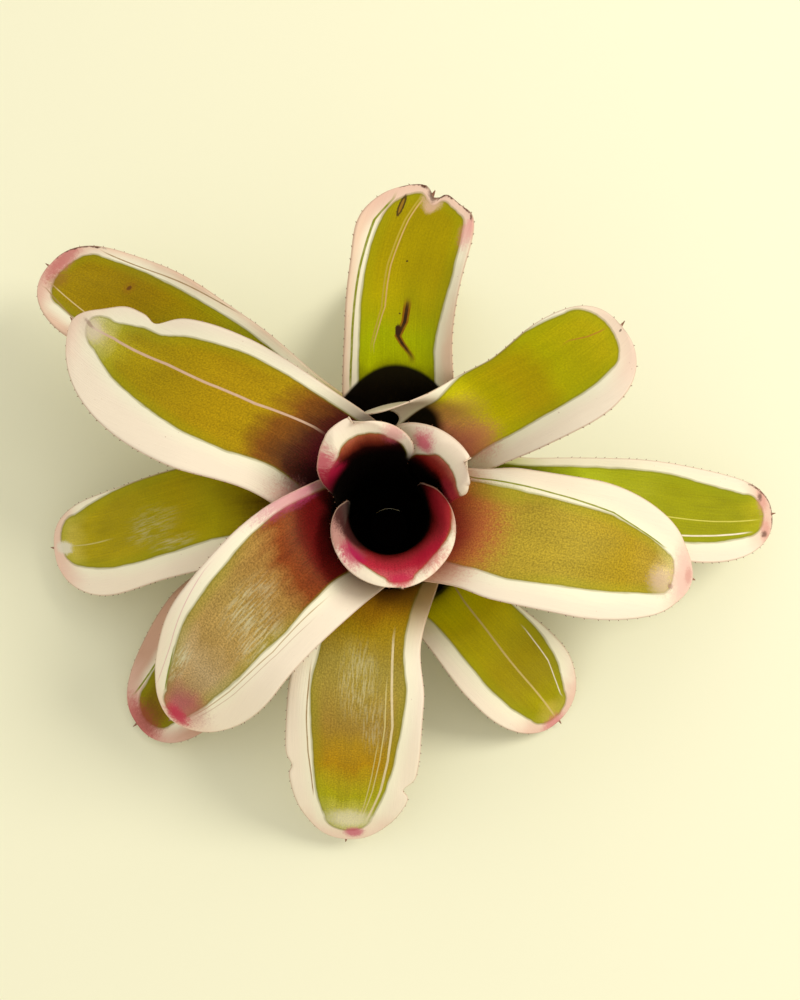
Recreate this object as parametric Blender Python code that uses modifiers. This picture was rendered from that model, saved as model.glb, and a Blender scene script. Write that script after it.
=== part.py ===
"""Neoregelia bromeliad: a rosette of strap leaves round a central cup, on a short cut stem.

The plant stands on the flat cut end of its stem, with its lowest leaves just clear of the surface.
Each leaf is a patch of a turned shape. In the rosette's side view its middle line starts on the stem,
wraps the younger leaves as a sheath, and then arches out as a blade with a round tip and a small spine.
Rank 0 is the youngest leaf, innermost, and each further rank is wrapped round the ones before it.

Sizes are millimetres until MM turns them into metres. Azimuths are degrees, anticlockwise from +X seen
from above. Looking out along a leaf, LEFT is its anticlockwise edge and RIGHT its clockwise edge.
"""
import bmesh
import bpy
import numpy as np

MM = 0.001
PLANT = "neoregelia_bromeliad"
LEFT = 1
RIGHT = -1

# Stem: a tapered stump, cut flat at the origin
STEM_HEIGHT = 26.0
STEM_FOOT_RADIUS = 10.0
STEM_TOP_RADIUS = 6.0
STEM_SIDES = 32
STEM_EDGE_BEVEL = 0.8

# Rosette: where each rank leaves the stem, and how far out its sheath stands
RANK_COUNT = 15
OUTER_SHEATH_HEIGHT = 3.0
SHEATH_STEP_UP = 1.6
SHEATH_GAP_FROM_STEM = 1.0
INNER_SHEATH_RADIUS = 12.5
SHEATH_STEP_OUT = 1.25
SHEATH_FLARE_BACK = 4.0
SHEATH_FLARE_RISE = 4.0
SHEATH_RISE = 13.0
ROSETTE_LEAN = 0.08

# Leaf build, alike on all leaves
LEAF_THICKNESS = 0.7
CELLS_ALONG = 22
CELLS_ACROSS = 7
TIP_BUNCHING = 1.6
TIP_SPINE = 2.5
TIP_SPINE_HALF_WIDTH = 0.7
TIP_SPINE_POINT = 0.35
SHEATH_FOOT_WRAP = 1.25
SHEATH_WIDEST_AT = 0.16
SWEEP_STARTS_AT = 0.25
BEND_STARTS_AT = 0.3
ARCH_SAMPLES = 240

# Where a leaf's list entry doesn't say otherwise
NECK_AT = 0.42
WIDEST_AT = 0.68
TIP_POWER = 2.4

OLIVE = (0.33, 0.33, 0.035)
BRONZE = (0.33, 0.24, 0.06)
CRIMSON = (0.32, 0.03, 0.06)
STEM_BROWN = (0.20, 0.12, 0.06)

# arch: (radius, height) of the middle line above the sheath. widths: half widths of sheath, neck and
# blade. tip: length of the rounded end. channel: rise of the edges at the blade. tilt: degrees, roll of the
# blade towards its right edge. waves: (height, count along the leaf, phase, edge). cuts: (place along the
# leaf, length as a share of it, depth, edge), where a depth below 0 widens the leaf. curls: (place along,
# length, rise towards the cup, edge).
LEAVES = [
    dict(name="leaf_cup_front", rank=0, colour=CRIMSON, azimuths=(286, 279), bend=0,
         arch=[(12.8, 55), (15.5, 68), (26, 84)], widths=(24, 28, 29), neck_at=0.6, widest_at=0.7,
         tip=28, tip_power=1.6, channel=0),
    dict(name="leaf_cup_left", rank=1, colour=CRIMSON, azimuths=(124, 115), bend=0,
         arch=[(15.8, 60), (19, 77), (23.5, 90)], widths=(20, 14.5, 16.5), neck_at=0.6, widest_at=0.75,
         tip=17, tip_power=1.7, channel=0),
    dict(name="leaf_cup_right", rank=2, colour=CRIMSON, azimuths=(42, 27), bend=0,
         arch=[(17.2, 58), (20, 75), (23, 87)], widths=(20, 13, 14), neck_at=0.6, widest_at=0.75,
         tip=14, tip_power=1.7, channel=0),
    dict(name="leaf_front_left", rank=3, colour=BRONZE, azimuths=(212, 222), bend=3,
         arch=[(18.5, 57), (30, 72), (56, 68), (80, 48), (95, 28)], widths=(26, 22, 20.5),
         tip=44, tip_power=1.8, channel=2, tilt=-8),
    dict(name="leaf_right", rank=4, colour=BRONZE, azimuths=(-15, -11), bend=1,
         arch=[(19.8, 55), (32, 69), (57, 68), (84, 54), (100, 38)], widths=(26, 20, 21.5),
         widest_at=0.5, tip=44, tip_power=1.75, channel=2),
    dict(name="leaf_left", rank=5, colour=BRONZE, azimuths=(140, 147), bend=6,
         arch=[(21, 51), (33, 65), (63, 70), (96, 62), (125, 48)], widths=(26, 21, 24),
         widest_at=0.6, tip=62, tip_power=1.7, channel=3,
         waves=[(2.0, 3.2, 0.0, RIGHT), (1.0, 2.3, 0.3, LEFT)],
         cuts=[(0.78, 0.03, 3.0, RIGHT)]),
    dict(name="leaf_back_right", rank=6, colour=OLIVE, azimuths=(58, 37), bend=-6,
         arch=[(22.5, 48), (33, 64), (50, 81), (71, 92), (87, 95)], widths=(27, 16, 18),
         tip=24, tip_power=2.6, channel=3, tilt=-4,
         cuts=[(0.51, 0.045, -12.0, LEFT), (0.69, 0.10, 3.0, LEFT)],
         curls=[(0.54, 0.05, 6.0, LEFT)]),
    dict(name="leaf_front", rank=7, colour=OLIVE, azimuths=(258, 262), bend=1,
         arch=[(23.7, 45), (36, 56), (60, 51), (84, 29), (104, 5)], widths=(26, 18, 21),
         widest_at=0.55, tip=46, tip_power=2.2, channel=1, tilt=-5,
         cuts=[(0.80, 0.02, 3.0, LEFT), (0.75, 0.02, 1.5, RIGHT)]),
    dict(name="leaf_back", rank=8, colour=OLIVE, azimuths=(80, 81), bend=6,
         arch=[(25, 42), (35, 59), (51, 79), (72, 100), (93, 108)], widths=(26, 19, 17),
         tip=20, tip_power=2.7, channel=3, cuts=[(0.90, 0.06, -2.0, LEFT)]),
    dict(name="leaf_lower_right", rank=9, colour=OLIVE, azimuths=(9, 3), bend=-3,
         arch=[(26.5, 38), (42, 48), (75, 44), (104, 31), (132, 15)], widths=(26, 14, 16),
         tip=42, channel=3),
    dict(name="leaf_lower_left", rank=10, colour=OLIVE, azimuths=(172, 182), bend=4,
         arch=[(27.5, 37), (42, 46), (70, 38), (95, 22), (117, 8)], widths=(26, 18, 17),
         tip=30, channel=3, tilt=-8),
    dict(name="leaf_lower_far_left", rank=11, colour=BRONZE, azimuths=(134, 142), bend=0,
         arch=[(28.5, 33), (44, 40), (82, 43), (120, 38), (151, 31)], widths=(26, 18, 19),
         tip=36, channel=3, waves=[(1.5, 4.2, 0.2, RIGHT), (1.0, 3.3, 0.6, LEFT)]),
    dict(name="leaf_lower_front_right", rank=12, colour=OLIVE, azimuths=(306, 312), bend=1,
         arch=[(29.5, 31), (43, 36), (60, 25), (75, 11), (87, 1.5)], widths=(26, 15, 17),
         tip=28, channel=3),
    dict(name="leaf_lower_front_left", rank=13, colour=OLIVE, azimuths=(206, 217), bend=0,
         arch=[(30.5, 28), (45, 33), (69, 22), (90, 8.5), (109, 1.5)], widths=(26, 16, 20),
         tip=35, channel=3),
    dict(name="leaf_lower_back", rank=14, colour=OLIVE, azimuths=(88, 86), bend=0,
         arch=[(31.5, 26), (46, 31), (72, 23), (92, 9.5), (107, 1.5)], widths=(26, 17, 17),
         tip=30, channel=3),
]


def ease(x):
    """0 below 0, 1 above 1 and a smooth step between."""
    x = np.clip(x, 0.0, 1.0)
    return x * x * (3.0 - 2.0 * x)


def bump(x, centre, size):
    """A rounded bump of height 1 at centre."""
    return np.exp(-((x - centre) / size) ** 2)


def smooth_curve(points):
    """A centripetal Catmull-Rom curve through the points: samples, and the length up to each."""
    knots = np.array(points, float)
    knots = np.vstack([2 * knots[0] - knots[1], knots, 2 * knots[-1] - knots[-2]])
    spans = []
    for before, start, end, after in zip(knots, knots[1:], knots[2:], knots[3:]):
        t1 = np.linalg.norm(start - before) ** 0.5
        t2 = t1 + np.linalg.norm(end - start) ** 0.5
        t3 = t2 + np.linalg.norm(after - end) ** 0.5
        t = np.linspace(t1, t2, ARCH_SAMPLES // len(points))[:, None]
        a1 = (t1 - t) / t1 * before + t / t1 * start
        a2 = (t2 - t) / (t2 - t1) * start + (t - t1) / (t2 - t1) * end
        a3 = (t3 - t) / (t3 - t2) * end + (t - t2) / (t3 - t2) * after
        b1 = (t2 - t) / t2 * a1 + t / t2 * a2
        b2 = (t3 - t) / (t3 - t1) * a2 + (t - t1) / (t3 - t1) * a3
        spans.append((t2 - t) / (t2 - t1) * b1 + (t - t1) / (t2 - t1) * b2)
    # the last sample of a span is the first of the next one
    curve = np.vstack([span[:-1] for span in spans] + [spans[-1][-1:]])
    steps = np.linalg.norm(np.diff(curve, axis=0), axis=1)
    return curve, np.concatenate([[0.0], np.cumsum(steps)])


def middle_line(leaf):
    """The leaf's middle line as (radius, height) samples, from the stem to the tip spine's point."""
    foot_height = OUTER_SHEATH_HEIGHT + SHEATH_STEP_UP * (RANK_COUNT - 1 - leaf["rank"])
    stem_taper = (STEM_FOOT_RADIUS - STEM_TOP_RADIUS) / STEM_HEIGHT
    foot_radius = STEM_FOOT_RADIUS - stem_taper * foot_height + SHEATH_GAP_FROM_STEM
    sheath_radius = INNER_SHEATH_RADIUS + SHEATH_STEP_OUT * leaf["rank"]
    sheath = [
        (foot_radius, foot_height),
        (sheath_radius - SHEATH_FLARE_BACK, foot_height + SHEATH_FLARE_RISE),
        (sheath_radius, foot_height + SHEATH_RISE),
    ]
    return smooth_curve(sheath + leaf["arch"])


def half_width(leaf, along, to_tip):
    """Half the leaf's width at each row: sheath, neck, blade, round tip and spine."""
    sheath, neck, blade = leaf["widths"]
    foot = min(sheath, SHEATH_FOOT_WRAP * STEM_FOOT_RADIUS)
    neck_at = leaf.get("neck_at", NECK_AT)
    widest_at = leaf.get("widest_at", WIDEST_AT)
    width = foot + (sheath - foot) * ease(along / SHEATH_WIDEST_AT)
    width += (neck - sheath) * ease((along - SHEATH_WIDEST_AT) / (neck_at - SHEATH_WIDEST_AT))
    width += (blade - neck) * ease((along - neck_at) / (widest_at - neck_at))
    power = leaf.get("tip_power", TIP_POWER)
    from_shoulder = 1.0 - np.clip(to_tip / leaf["tip"], 0.0, 1.0)
    width *= (1.0 - from_shoulder**power) ** (1.0 / power)
    spine = np.where(to_tip < 0.0, TIP_SPINE_POINT, TIP_SPINE_HALF_WIDTH)
    return np.maximum(width, spine)


def edge_lift(leaf, along, across, side, width, to_tip):
    """How far each point stands off the turned shape, towards the cup or up from the blade."""
    blade = leaf["widths"][2]
    shallow_tip = 0.4 + 0.6 * np.clip(to_tip / leaf["tip"], 0.0, 1.0)
    lift = leaf["channel"] * ease((along - 0.35) / 0.35) * shallow_tip * (side / blade) ** 2
    lift += np.tan(np.radians(leaf.get("tilt", 0.0))) * ease((along - 0.3) / 0.3) * side
    for height, count, phase, edge in leaf.get("waves", ()):
        near_edge = np.clip(across * edge, 0.0, 1.0) ** 2 * ease((along - 0.4) / 0.2) * width / blade
        lift += height * near_edge * np.sin(2 * np.pi * (count * along + phase))
    for place, size, height, edge in leaf.get("curls", ()):
        lift += height * bump(along, place, size) * np.clip(across * edge, 0.0, 1.0) ** 2
    return lift


def leaf_points(leaf, row, across):
    """World points in metres of the leaf's middle surface.

    row counts 0 at the stem to 1 at the tip spine's point, and across -1 to 1 from the right edge.
    """
    curve, reached = middle_line(leaf)
    length = reached[-1]
    blade_length = length - TIP_SPINE
    last_row = 1.0 - 1.0 / CELLS_ALONG
    bunched = 1.0 - (1.0 - np.clip(row / last_row, 0.0, 1.0)) ** TIP_BUNCHING
    distance = np.where(row > last_row + 1e-6, length, blade_length * bunched)
    along = distance / length
    to_tip = blade_length - distance
    width = half_width(leaf, along, to_tip)
    side = width * across
    slope = np.gradient(curve, reached, axis=0)
    radius, height = (np.interp(distance, reached, curve[:, i]) for i in range(2))
    run, rise = (np.interp(distance, reached, slope[:, i]) for i in range(2))
    for place, size, depth, edge in leaf.get("cuts", ()):
        side -= edge * depth * bump(along, place, size) * np.clip(across * edge, 0.0, 1.0) ** 3
    lift = edge_lift(leaf, along, across, side, width, to_tip)

    start, end = leaf["azimuths"]
    sweep = ease((along - SWEEP_STARTS_AT) / (1.0 - SWEEP_STARTS_AT))
    bow = np.sin(np.pi * np.clip((along - BEND_STARTS_AT) / (1.0 - BEND_STARTS_AT), 0.0, 1.0))
    azimuth = np.radians(start + (end - start) * sweep + leaf["bend"] * bow) + side / radius
    out = radius - rise * lift
    up = height + run * lift
    return np.stack([out * np.cos(azimuth), out * np.sin(azimuth) - ROSETTE_LEAN * up, up], -1) * MM


def surface(name, colour, roughness):
    """A plain coloured finish."""
    material = bpy.data.materials.new(name)
    material.use_nodes = True
    shader = material.node_tree.nodes["Principled BSDF"]
    shader.inputs["Base Color"].default_value = (*colour, 1.0)
    shader.inputs["Roughness"].default_value = roughness
    shader.inputs["Metallic"].default_value = 0.0
    return material


def add_object(name, mesh_builder, colour, roughness, collection):
    """Turn a bmesh into a smooth shaded object with its own finish."""
    mesh = bpy.data.meshes.new(name)
    mesh_builder.to_mesh(mesh)
    mesh_builder.free()
    mesh.shade_smooth()
    mesh.materials.append(surface(name + "_surface", colour, roughness))
    thing = bpy.data.objects.new(name, mesh)
    collection.objects.link(thing)
    return thing


def build_stem(collection):
    """The stump that all leaves grow from."""
    builder = bmesh.new()
    bmesh.ops.create_cone(
        builder, cap_ends=True, segments=STEM_SIDES, radius1=STEM_FOOT_RADIUS * MM,
        radius2=STEM_TOP_RADIUS * MM, depth=STEM_HEIGHT * MM)
    for vert in builder.verts:
        vert.co.z += STEM_HEIGHT / 2 * MM
        vert.co.y -= ROSETTE_LEAN * vert.co.z
    stem = add_object("stem", builder, STEM_BROWN, 0.8, collection)
    stem.data.set_sharp_from_angle(angle=np.radians(40.0))
    bevel = stem.modifiers.new("cut_edge", "BEVEL")
    bevel.width = STEM_EDGE_BEVEL * MM
    bevel.segments = 1
    bevel.limit_method = "ANGLE"


def build_leaf(leaf, collection):
    """One leaf: a grid bent to its place, split into triangles and given its thickness."""
    builder = bmesh.new()
    bmesh.ops.create_grid(builder, x_segments=CELLS_ACROSS, y_segments=CELLS_ALONG, size=1.0)
    flat = np.array([vert.co for vert in builder.verts])
    places = leaf_points(leaf, (flat[:, 1] + 1.0) / 2.0, -flat[:, 0])
    for vert, place in zip(builder.verts, places):
        vert.co = place
    bmesh.ops.triangulate(builder, faces=builder.faces, quad_method="FIXED")
    blade = add_object(leaf["name"], builder, leaf["colour"], 0.4, collection)
    body = blade.modifiers.new("leaf_thickness", "SOLIDIFY")
    body.thickness = LEAF_THICKNESS * MM
    body.offset = 0.0


def main():
    for old in list(bpy.data.objects):
        bpy.data.objects.remove(old)
    plant = bpy.data.collections.new(PLANT)
    bpy.context.scene.collection.children.link(plant)
    build_stem(plant)
    for leaf in LEAVES:
        build_leaf(leaf, plant)


main()
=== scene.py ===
"""Neoregelia bromeliad: the plant's looks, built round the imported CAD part.

Each leaf is rebuilt on the same turned shape as its CAD node, with many more cells, thin edges, uneven
surfaces and small spines along its edges. Lengths in the tables are millimetres, turned into metres by MM,
and angles are degrees. Looking out along a leaf, LEFT is its anticlockwise edge seen from above. A place
on a leaf is given as along, 0 at the stem to 1 at the end of its middle line, and across, -1 at the right
edge to 1 at the left edge.
"""

import math

import bmesh
import bpy
import numpy as np
from bpy.props import FloatProperty, FloatVectorProperty, IntProperty, PointerProperty
from mathutils import Matrix, Vector, noise


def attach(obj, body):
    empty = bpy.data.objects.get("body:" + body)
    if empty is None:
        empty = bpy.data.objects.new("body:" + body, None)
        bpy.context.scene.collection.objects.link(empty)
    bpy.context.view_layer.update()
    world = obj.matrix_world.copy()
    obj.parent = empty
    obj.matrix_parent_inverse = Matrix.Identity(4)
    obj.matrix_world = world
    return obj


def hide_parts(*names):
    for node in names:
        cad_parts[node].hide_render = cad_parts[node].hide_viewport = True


bl_info = {
    "name": "Neoregelia bromeliad",
    "version": (1, 0, 0),
    "blender": (4, 5, 0),
    "location": "3D View > Sidebar > Bromeliad",
    "description": "Builds the leaves, stem and studio of a neoregelia bromeliad",
    "category": "Object",
}

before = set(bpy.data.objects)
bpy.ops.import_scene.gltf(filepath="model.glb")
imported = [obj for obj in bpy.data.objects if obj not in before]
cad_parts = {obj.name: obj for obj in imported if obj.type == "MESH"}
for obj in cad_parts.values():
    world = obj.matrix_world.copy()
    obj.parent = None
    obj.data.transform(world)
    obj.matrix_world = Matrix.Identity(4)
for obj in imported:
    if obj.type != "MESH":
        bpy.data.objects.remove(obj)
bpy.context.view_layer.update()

MM = 0.001
LEFT = 1
RIGHT = -1
BODY = "root"

# Stem and rosette, as in the CAD source
STEM_HEIGHT = 26.0
STEM_FOOT_RADIUS = 10.0
STEM_TOP_RADIUS = 6.0
RANK_COUNT = 15
OUTER_SHEATH_HEIGHT = 3.0
SHEATH_STEP_UP = 1.6
SHEATH_GAP_FROM_STEM = 1.0
INNER_SHEATH_RADIUS = 12.5
SHEATH_STEP_OUT = 1.25
SHEATH_FLARE_BACK = 4.0
SHEATH_FLARE_RISE = 4.0
SHEATH_RISE = 13.0
ROSETTE_LEAN = 0.08

# Leaf form, as in the CAD source
TIP_SPINE = 2.5
SHEATH_FOOT_WRAP = 1.25
SHEATH_WIDEST_AT = 0.16
SWEEP_STARTS_AT = 0.25
BEND_STARTS_AT = 0.3
ARCH_SAMPLES = 240
NECK_AT = 0.42
WIDEST_AT = 0.68
TIP_POWER = 2.4
TIP_CHANNEL = 0.4
# where along a leaf a form begins, and over how much of the leaf it grows
CHANNEL_GROWS = 0.35, 0.35
TILT_GROWS = 0.3, 0.3
WAVES_GROW = 0.4, 0.2

# Extra form of the fine leaves
LIP_GROWS = 0.62, 0.2
RELIEF_GROWS = 0.42, 0.15
SPINE_ROWS = 6
SPINE_REACH = 1.7
LIPPED_SPINE_REACH = 0.4
SPINE_HALF_WIDTH = 0.4
SPINE_POINT = 0.08
NICK_REACH = 14.0
CUT_ENDS = 3.0
RELIEF_ENDS = 8.0
RELIEF_ALONG, RELIEF_ACROSS, RELIEF_SHIFT = 0.045, 0.11, 17.3
THIN_EDGE = 3.0
THICKNESS_STEPS = 10
TIP_BUNCHING = 1.6
GRAIN_SHIFT = 7.0

# Small spines on the edges: from and up to where along the leaf, how they shift, lean and vary as shares of
# their spacing or size, and how far ahead, in millimetres, the edge's direction is read
TEETH_FROM, CUP_TEETH_FROM, TEETH_TO = 0.45, 0.55, 0.985
TOOTH_SHIFT = 0.25
TOOTH_INSET = 0.96
TOOTH_AHEAD = 0.5
TOOTH_LEAN = 0.9
TOOTH_VARIES = 0.35
TOOTH_CENTRE = 0.4
TOOTH_SIDES = 6
TOOTH_POINT = 0.05
TOOTH_NOISE, TOOTH_LAYER = 7.1, 0.5

# Fine stem: how far its scars stand out, and where up it the painted shade of the deep cup over its top
# begins and is full
STEM_SCARS = 0.5
STEM_SIDES = 96
STEM_EDGE = 0.8
STEM_EDGE_ROWS = 3
STEM_SHARP_ANGLE = 40.0
STEM_TOP_SHADE = 0.5, 0.9

# Stage, in metres
FLOOR_HALF = 3.0
SKY_COLOUR = (1.0, 0.985, 0.94, 1.0)
WINDOW_COLOUR = (1.0, 0.98, 0.93)
WINDOW_SIZE = 0.6
WINDOW_PLACE = (0.85, 0.25, 0.9)
WINDOW_AIM = (0.0, 0.0, 0.04)
CAMERA_PLACE = (0.0035, -0.10446, 0.47491)
CAMERA_TILT = 14.0
CAMERA_LENS, CAMERA_SENSOR = 50.0, 36.0

# The leaves. rank counts out from the cup. azimuths: at the stem and at the tip, and bend bows the leaf
# between them. arch: (radius, height) up the blade. widths: half widths of sheath, neck and blade. tip: how
# far from its end the blade narrows. channel: how high the edges stand. tilt: the left edge up.
# lip: (width, curl at the left, curl at the right). cuts: (along, size, depth, edge), where a depth below 0
# widens the leaf. waves: (height, count, phase, edge). curls: (along, size, height, edge).
# nicks: (place across, size, depth), all in millimetres.
LEAVES = [
    dict(name="leaf_cup_front", rank=0, azimuths=(286, 279), bend=0,
         arch=[(12.8, 55), (15.5, 68), (26, 84)], widths=(24, 28, 29), neck_at=0.6, widest_at=0.7,
         tip=26, tip_power=1.9, channel=0, lip=(6, 2.0, 1.5)),
    dict(name="leaf_cup_left", rank=1, azimuths=(124, 115), bend=0,
         arch=[(15.8, 60), (19, 77), (23.5, 90)], widths=(20, 14.5, 16.5), neck_at=0.6, widest_at=0.75,
         tip=15, tip_power=2.2, channel=0, tilt=-3, lip=(7, 4.5, 1.5),
         cuts=[(0.82, 0.16, 4.0, LEFT)]),
    dict(name="leaf_cup_right", rank=2, azimuths=(42, 27), bend=0,
         arch=[(17.2, 58), (20, 75), (23, 87)], widths=(20, 13, 14), neck_at=0.6, widest_at=0.75,
         tip=12, tip_power=2.2, channel=0, lip=(8, 5.0, 2.5),
         cuts=[(0.8, 0.14, -5.0, LEFT), (0.78, 0.18, 6.5, RIGHT)]),
    dict(name="leaf_front_left", rank=3, azimuths=(212, 222), bend=3,
         arch=[(18.5, 57), (30, 72), (56, 68), (80, 48), (95, 28)], widths=(26, 22, 20.5),
         tip=44, tip_power=1.8, channel=2, tilt=-8),
    dict(name="leaf_right", rank=4, azimuths=(-15, -11), bend=1,
         arch=[(19.8, 55), (32, 69), (57, 68), (84, 54), (100, 38)], widths=(26, 20, 21.5),
         widest_at=0.5, tip=44, tip_power=1.75, channel=2),
    dict(name="leaf_left", rank=5, azimuths=(140, 147), bend=6,
         arch=[(21, 51), (33, 65), (63, 70), (96, 62), (125, 48)], widths=(26, 21, 24),
         widest_at=0.6, tip=62, tip_power=1.7, channel=3,
         waves=[(2.0, 3.2, 0.0, RIGHT), (1.0, 2.3, 0.3, LEFT)],
         cuts=[(0.78, 0.03, 3.0, RIGHT), (0.885, 0.05, -2.5, RIGHT)]),
    dict(name="leaf_back_right", rank=6, azimuths=(58, 37), bend=-6,
         arch=[(22.5, 48), (33, 64), (50, 81), (71, 92), (87, 95)], widths=(27, 16, 18),
         tip=24, tip_power=2.6, channel=3, tilt=-4,
         cuts=[(0.51, 0.045, -19.0, LEFT), (0.69, 0.1, 3.0, LEFT)],
         curls=[(0.545, 0.045, 11.0, LEFT)]),
    dict(name="leaf_front", rank=7, azimuths=(258, 262), bend=1,
         arch=[(23.7, 45), (36, 56), (60, 51), (84, 29), (104, 5)], widths=(26, 18, 21),
         widest_at=0.55, tip=46, tip_power=2.2, channel=1, tilt=-5,
         cuts=[(0.8, 0.02, 3.0, LEFT), (0.75, 0.02, 1.5, RIGHT)]),
    dict(name="leaf_back", rank=8, azimuths=(80, 81), bend=6,
         arch=[(25, 42), (35, 59), (51, 79), (72, 100), (93, 108)], widths=(26, 19, 17),
         tip=20, tip_power=2.7, channel=3, cuts=[(0.92, 0.06, -2.0, LEFT)],
         nicks=[(-1.0, 2.2, 3.5), (-9.0, 6.0, 3.0)]),
    dict(name="leaf_lower_right", rank=9, azimuths=(9, 3), bend=-3,
         arch=[(26.5, 38), (42, 48), (75, 44), (104, 31), (132, 15)], widths=(26, 14, 16),
         tip=42, channel=3),
    dict(name="leaf_lower_left", rank=10, azimuths=(172, 182), bend=4,
         arch=[(27.5, 37), (42, 46), (70, 38), (95, 22), (117, 8)], widths=(26, 18, 17),
         tip=30, channel=3, tilt=-8),
    dict(name="leaf_lower_far_left", rank=11, azimuths=(134, 142), bend=0,
         arch=[(28.5, 33), (44, 40), (82, 43), (120, 38), (151, 31)], widths=(26, 18, 19),
         tip=36, channel=3, waves=[(1.5, 4.2, 0.2, RIGHT), (1.0, 3.3, 0.6, LEFT)]),
    dict(name="leaf_lower_front_right", rank=12, azimuths=(306, 312), bend=1,
         arch=[(29.5, 31), (43, 36), (60, 25), (75, 11), (87, 1.5)], widths=(26, 15, 17),
         tip=28, channel=3),
    dict(name="leaf_lower_front_left", rank=13, azimuths=(206, 217), bend=0,
         arch=[(30.5, 28), (45, 33), (69, 22), (90, 8.5), (109, 1.5)], widths=(26, 16, 20),
         tip=35, channel=3),
    dict(name="leaf_lower_back", rank=14, azimuths=(88, 86), bend=0,
         arch=[(31.5, 26), (46, 31), (72, 23), (92, 9.5), (107, 1.5)], widths=(26, 17, 17),
         tip=30, channel=3),
]

# The leaves of each step, in the order they are built
CUP = ("leaf_cup_front", "leaf_cup_left", "leaf_cup_right")
UPPER = ("leaf_front_left", "leaf_right", "leaf_left")
MIDDLE = ("leaf_back_right", "leaf_front", "leaf_back")
LOWER = ("leaf_lower_far_left", "leaf_lower_right", "leaf_lower_left", "leaf_lower_front_right",
         "leaf_lower_front_left", "leaf_lower_back")

# Noise over a leaf: scale (across, along, from leaf to leaf), detail, roughness
PATTERNS = dict(
    veins=((2.6, 0.03, 1.0), 2.0, 0.6),
    fibres=((7.0, 0.1, 1.0), 2.0, 0.6),
    clouds=((0.12, 0.05, 1.0), 3.0, 0.55),
    freckles=((1.9, 1.6, 1.0), 3.0, 0.7),
    ragged=((0.9, 0.5, 1.0), 3.0, 0.6),
    wiggle=((0.5, 0.12, 1.0), 2.0, 0.5),
    glare_streaks=((1.5, 0.16, 1.0), 3.0, 0.65),
    specks=((1.1, 0.9, 1.0), 2.0, 0.75),
    under_veins=((2.2, 0.02, 1.0), 2.0, 0.6),
)
STEM_FIBRES = (900.0, 900.0, 90.0), 3.0, 0.6

# A factor over a pattern: its least value, and how much more where the pattern is 1
CLOUD_SHADE = 0.72, 0.56
VEIN_SHADE = 0.8, 0.4
UNDER_CLOUD_SHADE = 0.7, 0.6
STRIPE_FADE = 0.55, 0.8
LEAF_ROUGHNESS = 0.3, 0.22
# how much more alone, how deep the freckles go, and the least alone
FIBRE_SHADE, FRECKLE_DEPTH, STEM_SHADE = 0.12, 0.28, 0.5

# Steps, as where they are 0 and where they are 1: over a pattern, along the leaf, or in millimetres
FRECKLE_STEP = 0.3, 0.7
GLARE_STREAK_STEP = 0.42, 0.66
SPECK_STEP = 0.7, 0.76
GREEN_ALONG = 0.45, 0.6
STAIN_ALONG = 0.46, 0.3
DRY_ALONG = 0.84, 0.88
UNDER_ALONG = 0.25, 0.55
GREEN_EDGE = -4.5, -0.8
PINK_EDGE = 2.5, 7.5
PINK_TIP = 8.0, -6.0
BORDER_STEP = -0.22, 0.22
OUTLINE_STEP = 0.75, 0.25
DRY_EDGE = 1.0, 0.3
RIM_STEP = 0.45, 0.15
PALE_RIM = 0.4, -0.4
UNDER_BORDER = -0.6, 0.6
SPINE_STEP = 0.6, -0.6
PATCH_STEP = 1.0, 0.2

# How far patterns push a border, and how strongly one colour lies over another
CLOUD_WARP = 0.1
CLOUD_PINK_EDGE, CLOUD_PINK_TIP = 4.0, 16.0
BORDER_WIGGLE, STRIPE_WIGGLE, DRY_WIGGLE = 0.8, 0.25, 2.4
STRIPE_BLUR, STRIPE_START, STRIPE_END = 0.12, 0.03, 0.02
DRY_FADE = 1.5
MARK_BLUR = 0.6
MARK_RAGGED, MARK_FRECKLED = 1.0, 1.4
GREEN_SHARE, SPECK_SHARE, STAIN_SHARE, OUTLINE_SHARE, RIM_SHARE = 0.3, 0.45, 0.8, 0.45, 0.55
VEIN_RELIEF, FIBRE_RELIEF = 0.7, 0.3
SPECULAR_TINT = (1.0, 0.88, 0.3)
# strength of the bumps, and their height in metres
LEAF_BUMPS, UNDER_BUMPS, STEM_BUMPS = (0.35, 0.0004), (0.3, 0.0004), (0.6, 0.0006)

# Stripes are stored three to an attribute, and FAR fills the places left over
STRIPE_NAMES = ("stripes_a", "stripes_b")
FAR = 99.0

# Rows of the outline round a coloured middle, rows round its tip, and how many are measured at once
BORDER_ROWS, BORDER_TIP_ROWS, BORDER_CHUNK = 120, 24, 32

# Looks of each leaf; a key that is left out takes the value given here.
# centre: (along, red, green, blue) of the coloured middle. left, right: (along, across) of its borders, and
# end, where they meet. dark: the pit at the base, painted black as its deep shade over the sheath's own dark
# colour; black below the first place along and gone above the second, then how much lower it reaches at the
# edges and towards the left. pale_rim: it spares the margin.
# grain: strength of the freckles. margin: brightness of the margins, set leaf by leaf partly for their own
# tone and partly as painted light and shade that evens out how the light falls on each leaf. blush: their
# colour near the edge.
# tip_pink: how pink they are at the tip. dry: (from, to) across, in millimetres, of the dry brown tip edge.
# stripes: (line of (along, across), width, colour). glares: (across, along, size across, size along,
# strength) of painted highlights, streaked like silvery glare. marks: the same four, then colour, strength
# and raggedness.
CREAM_LINE = (240, 225, 200)
GREEN_LINE = (135, 140, 30)
MARGIN_LINE = (165, 130, 85)
SCAR = (60, 32, 22)
SCAR_HALO = (150, 95, 15)
SCAR_LINE = [(0.57, -0.22), (0.6, -0.06), (0.62, 0.02), (0.66, -0.1), (0.71, -0.13)]
DRY = (88, 50, 40)
# default painted shade of the pit at a leaf's base, over the sheath's own dark colour
PIT_SHADE = (0.16, 0.27, 0.0, 0.0)
GRAIN = 0.4
TIP_PINK = 0.5
MARGIN_SHADE = 0.93
BORDER_GREEN = (150, 158, 8)
# colour of the painted highlights
GLARE = (222, 214, 172)
LOOKS = {}
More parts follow.
